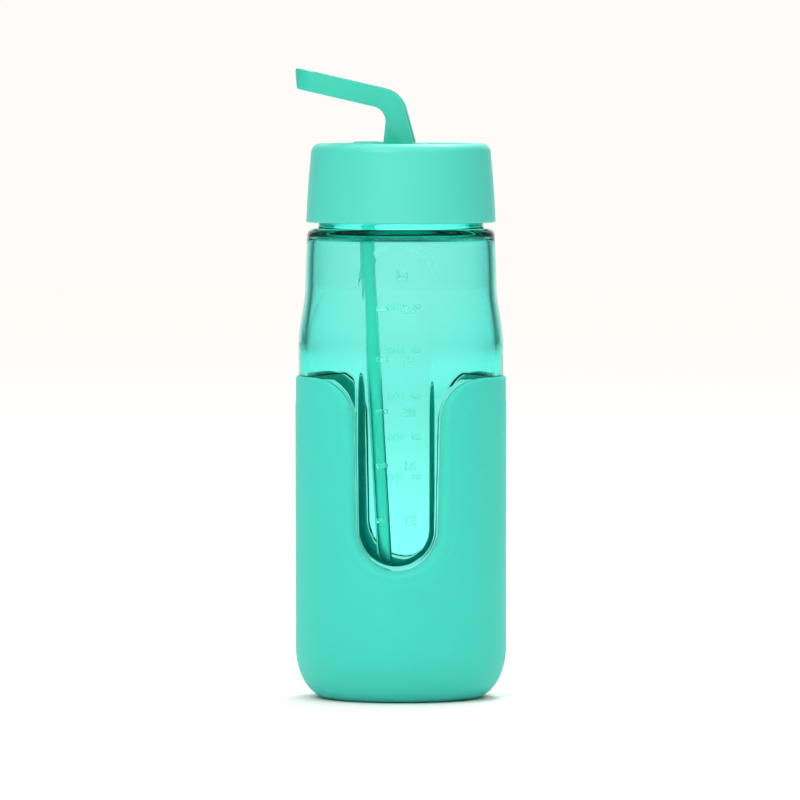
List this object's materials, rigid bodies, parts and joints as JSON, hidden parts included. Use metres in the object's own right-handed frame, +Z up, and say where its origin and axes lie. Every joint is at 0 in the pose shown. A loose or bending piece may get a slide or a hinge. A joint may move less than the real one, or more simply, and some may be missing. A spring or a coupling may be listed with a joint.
{
  "type": "water bottle",
  "caption": "Tinted glass water bottle in a windowed silicone sleeve, with a screw lid, folding spout, straw and swinging carry handle.",
  "frame": {"origin": "middle of the flat foot, on the bottle's axis", "axes": "+Z up along the bottle's axis, -Y out of the front window, -X towards the handle's tip"},
  "size_m": [0.0896, 0.0896, 0.2673],
  "materials": {
    "tinted_glass": "polished",
    "sleeve_silicone": "smooth matte silicone",
    "seal_silicone": "matte silicone",
    "lid_plastic": "fine moulded satin",
    "inner_plastic": "moulded satin",
    "handle_plastic": "moulded satin",
    "straw_plastic": "glossy translucent",
    "mouthpiece_silicone": "soft silicone",
    "washer_rubber": "matte",
    "pin_steel": "ground"
  },
  "bodies": {
    "bottle": {"glass_bottle": "tinted_glass", "silicone_sleeve": "sleeve_silicone"},
    "seal_ring": {"lid_gasket": "seal_silicone"},
    "lid": {"lid_shell": "lid_plastic", "lid_liner": "inner_plastic", "lid_deck": "inner_plastic", "straw_coupler": "seal_silicone", "straw": "straw_plastic", "vent_valve": "seal_silicone", "spout_seal": "seal_silicone", "spout_pins": "pin_steel", "handle_pins": "pin_steel"},
    "handle": {"carry_handle": "handle_plastic", "handle_washers": "washer_rubber"},
    "spout": {"spout_body": "lid_plastic", "mouthpiece": "mouthpiece_silicone"}
  },
  "joints": [
    {"name": "lid_rise", "type": "slide", "parent": "bottle", "child": "seal_ring", "axis": [0, 0, 1], "range_m": [0, 0.0084]},
    {"name": "lid_turn", "type": "hinge", "parent": "seal_ring", "child": "lid", "pos_m": [0, 0, 0.216], "axis": [0, 0, 1], "range_deg": [0, 600]},
    {"name": "handle_swing", "type": "hinge", "parent": "lid", "child": "handle", "pos_m": [-0.0012, 0, 0.2305], "axis": [0, -1, 0], "range_deg": [-68, 30]},
    {"name": "spout_flip", "type": "hinge", "parent": "lid", "child": "spout", "pos_m": [-0.0145, 0, 0.2294], "axis": [0, -1, 0], "range_deg": [0, 90]}
  ],
  "couplings": [
    {"joint": "lid_rise", "follows": "lid_turn", "m_per_rad": 0.00079577}
  ]
}
